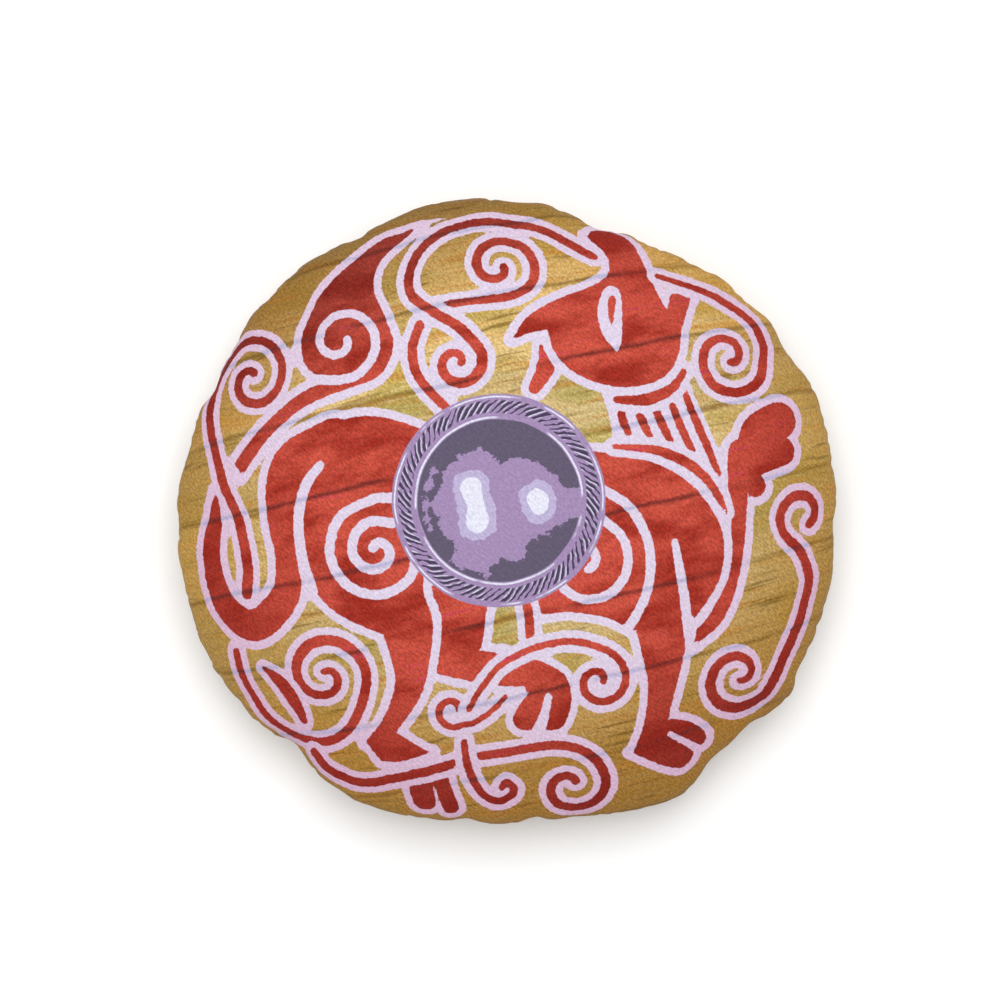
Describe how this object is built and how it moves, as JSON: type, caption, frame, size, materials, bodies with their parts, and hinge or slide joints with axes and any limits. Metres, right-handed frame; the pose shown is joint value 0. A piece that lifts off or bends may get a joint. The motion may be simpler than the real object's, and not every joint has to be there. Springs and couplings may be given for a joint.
{
  "type": "round shield cushion",
  "caption": "Stuffed plush cushion in the shape and print of a round wooden shield, sewn round the edge and lying on its back with its printed face up.",
  "frame": {"origin": "middle of the footprint, on the surface that the cushion lies on", "axes": "+Z out of the printed face, +Y towards the top of the face's picture, +X to its right"},
  "size_m": [0.45, 0.426, 0.118],
  "materials": {
    "printed_plush": "short-pile plush printed all over: ochre planks, and on the face a red beast with pale outlines round a violet-grey boss"
  },
  "bodies": {
    "root": {"shield_cushion": "printed_plush"}
  },
  "joints": []
}
